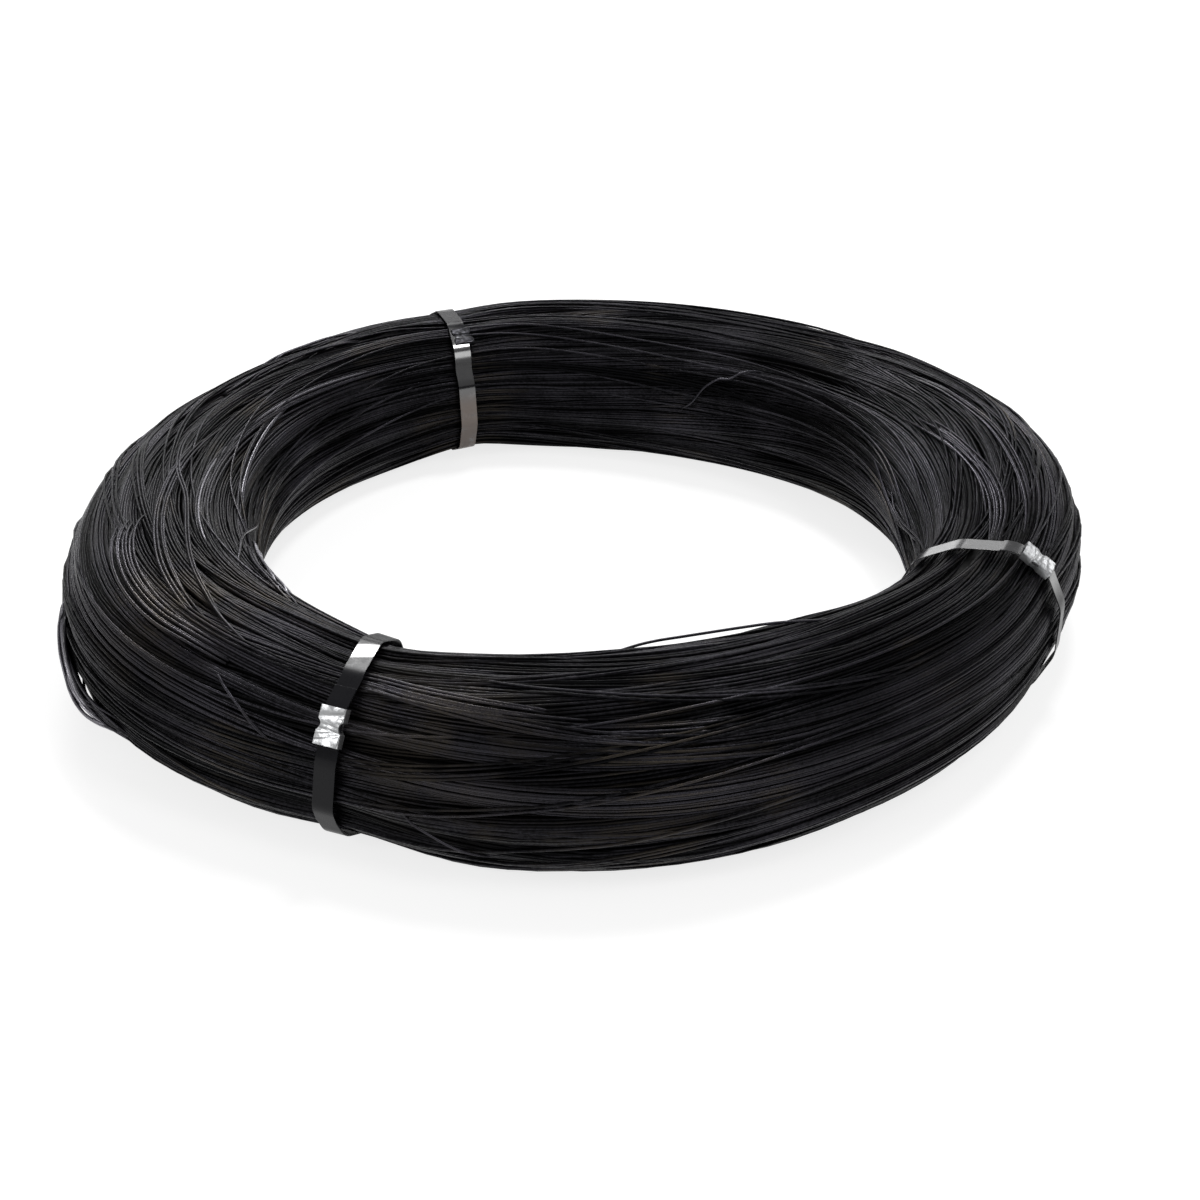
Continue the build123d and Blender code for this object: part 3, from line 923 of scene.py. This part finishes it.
def makeSeal(tie, material):
    center, along, face, depth = sealFrame(tie)
    bpy.ops.object.select_all(action="DESELECT")
    bpy.ops.mesh.primitive_cube_add(size=1, scale=(seal["length"], seal["width"], depth))
    piece = bpy.context.active_object
    bpy.ops.object.transform_apply(location=True, rotation=True, scale=True)
    folds = piece.modifiers.new("folds", "BEVEL")
    folds.width = seal["fold"]
    folds.segments = 4
    folds.limit_method = "WEIGHT"
    weights = piece.data.attributes.new("bevel_weight_edge", "FLOAT", "EDGE")
    for edge in piece.data.edges:
        first, second = (piece.data.vertices[v].co for v in edge.vertices)
        weights.data[edge.index].value = 1.0 if abs(first.x - second.x) > seal["length"] / 2 else 0.0
    bpy.ops.object.modifier_apply(modifier="folds")
    bpy.ops.object.mode_set(mode="EDIT")
    bpy.ops.mesh.select_all(action="DESELECT")
    bpy.ops.object.mode_set(mode="OBJECT")
    for polygon in piece.data.polygons:
        polygon.select = abs(polygon.normal.x) > 0.9
    bpy.ops.object.mode_set(mode="EDIT")
    bpy.ops.mesh.select_mode(type="FACE")
    bpy.ops.mesh.inset(thickness=seal["wall"])
    bpy.ops.transform.resize(value=(seal["mouth"], 1, 1), center_override=(0, 0, 0))
    bpy.ops.mesh.select_all(action="DESELECT")
    bpy.ops.object.mode_set(mode="OBJECT")
    for side in (-1, 1):
        reach = seal["width"] / 2 + seal["notch"] - seal["notchDepth"]
        bpy.ops.mesh.primitive_cylinder_add(vertices=48, radius=seal["notch"], depth=0.02,
                                            location=(0, side * reach, 0))
        cutWith(piece, bpy.context.active_object)
    crease = seal["length"] * seal["creaseRadius"]
    for spot, slant, dent in seal["creases"]:
        height = depth / 2 + crease - dent * millimetre
        bpy.ops.mesh.primitive_cylinder_add(vertices=96, radius=crease, depth=0.03,
                                            rotation=(math.pi / 2, 0, math.radians(slant)),
                                            location=(spot * millimetre, 0, height))
        cutWith(piece, bpy.context.active_object)
    selectOnly(piece)
    edges = piece.modifiers.new("edges", "BEVEL")
    edges.width = seal["edge"]
    edges.segments = 2
    edges.limit_method = "ANGLE"
    edges.angle_limit = math.radians(35)
    bpy.ops.object.modifier_apply(modifier="edges")
    piece.matrix_world = standing(center, along, face.cross(along), face)
    bpy.ops.object.transform_apply(location=True, rotation=True, scale=True)
    bpy.ops.object.shade_smooth_by_angle(angle=math.radians(40))
    hand(piece, "clip_" + tie, "seal_" + tie, material)
    print("seal", tie, "made,", len(piece.data.polygons), "faces")


# Zinc plate, bright in front, and darker and rougher at the right, where the darker colour is painted shade.
# The back seal is zinc too, coloured near-black as a painted dark reflection
sealLook = {
    "back": {"name": "sealDarkReflection", "dark": (0.008, 0.008, 0.009, 1), "bright": (0.03, 0.03, 0.034, 1),
             "roughness": 0.3},
    "front": {"name": "sealZinc", "dark": (0.42, 0.42, 0.43, 1), "bright": (0.72, 0.73, 0.74, 1),
              "roughness": 0.3},
    # The right seal: the same zinc painted darker for the shade on it, and rougher
    "right": {"name": "sealZincShaded", "dark": (0.32, 0.32, 0.33, 1), "bright": (0.62, 0.63, 0.64, 1),
              "roughness": 0.34},
}


def sealFinish(tie):
    look = sealLook[tie]

    def recipe(start):
        dirt = start.noise(420, 4).between(0.45, 0.75)
        return {
            "Base Color": dirt.mix(look["bright"], look["dark"]),
            "Roughness": look["roughness"] + 0.2 * dirt,
            "Normal": start.noise(230, 2).bump(0.6, 0.5 * millimetre),
        }

    return finish(look["name"], {"Metallic": 0.9}, recipe)


for tie in ties:
    makeSeal(tie, sealFinish(tie))

# Floor: white to the camera and in reflections, and it keeps the coil's shadow
floorLook = {"size": 60, "paper": 0.4, "shaded": 0.36, "glow": 0.78}
bpy.ops.object.select_all(action="DESELECT")
bpy.ops.mesh.primitive_plane_add(size=floorLook["size"], location=(0, 0, 0))
floor = bpy.context.active_object
floor.name = "floor"


def floorRecipe(start):
    grain = 0.98 + 0.02 * start.noise(40, 2)
    mirrored = start.node("LightPath", output="Is Glossy Ray")
    seen = start.node("LightPath", output="Is Camera Ray").math("MAXIMUM", mirrored)
    paper = grain.mix(grey(floorLook["shaded"]), grey(floorLook["paper"]))
    return {"Base Color": paper, "Emission Color": seen.mix(grey(0), grey(1))}


floor.data.materials.append(finish("whitePaper", {"Roughness": 1.0, "Specular IOR Level": 0.0,
                                                  "Emission Strength": floorLook["glow"]}, floorRecipe))

# Light: a wide sweep low behind the coil, lamps above, behind and at the sides, two small ones whose glints
# show on the straps, and a dim room
lighting = {
    "room": 0.29,
    "aim": (0, 0, 0.05),
    "lamps": {
        "sweep": {"place": (0.2, 2.0, 0.42), "width": 1.2, "height": 0.7, "watts": 4.5},
        "above": {"place": (0.3, 0.35, 1.55), "width": 0.3, "height": 0.3, "watts": 8.0},
        "behind": {"place": (-0.42, 1.15, 1.15), "width": 0.5, "height": 0.5, "watts": 8.0},
        "side": {"place": (-1.4, -0.95, 1.15), "width": 0.6, "height": 0.6, "watts": 4.8},
        "front": {"place": (0.74, -0.73, 1.27), "width": 0.4, "height": 0.75, "watts": 3.6},
        "lowRight": {"place": (1.42, 0.98, 0.55), "width": 0.4, "height": 0.4, "watts": 1.6},
        "glintLeft": {"place": (-0.26, 1.31, 1.0), "width": 0.4, "height": 0.24, "watts": 4.4},
        "glintRight": {"place": (0.6, 1.63, 1.02), "width": 0.32, "height": 0.22, "watts": 0.35},
    },
}
world = bpy.data.worlds.new("studio")
bpy.context.scene.world = world
world.use_nodes = True
room = world.node_tree.nodes["Background"]
room.inputs["Color"].default_value = grey(1)
room.inputs["Strength"].default_value = lighting["room"]
for name, spec in lighting["lamps"].items():
    lamp = bpy.data.objects.new(name, bpy.data.lights.new(name, "AREA"))
    bpy.context.scene.collection.objects.link(lamp)
    lamp.data.shape = "RECTANGLE"
    lamp.data.size = spec["width"]
    lamp.data.size_y = spec["height"]
    lamp.data.energy = spec["watts"]
    lamp.location = spec["place"]
    toCoil = Vector(lighting["aim"]) - Vector(spec["place"])
    lamp.rotation_euler = toCoil.to_track_quat("-Z", "Y").to_euler()

# Camera, fitted to the outline of the coil in the photo
view = {
    "distance": 0.8935,
    "elevation": 29.942,
    "pan": 0.777,
    "tilt": -0.042,
    "roll": -0.898,
    "lens": 53.726,
    "sensor": 36,
}


def turned(first, second, degrees):
    turn = math.radians(degrees)
    return first * math.cos(turn) + second * math.sin(turn), second * math.cos(turn) - first * math.sin(turn)


elevation = math.radians(view["elevation"])
eye = Vector((0, -math.cos(elevation), math.sin(elevation))) * view["distance"]
ahead = -eye.normalized()
across = Vector((1, 0, 0))
upward = across.cross(ahead)
ahead, across = turned(ahead, across, view["pan"])
ahead, upward = turned(ahead, upward, view["tilt"])
across, upward = turned(across, upward, view["roll"])
camera = bpy.data.objects.new("camera", bpy.data.cameras.new("camera"))
bpy.context.scene.collection.objects.link(camera)
camera.data.lens = view["lens"]
camera.data.sensor_width = view["sensor"]
camera.matrix_world = standing(eye + coilAxis, across, upward, -ahead)
bpy.context.scene.camera = camera
bpy.context.scene.view_settings.view_transform = "Standard"
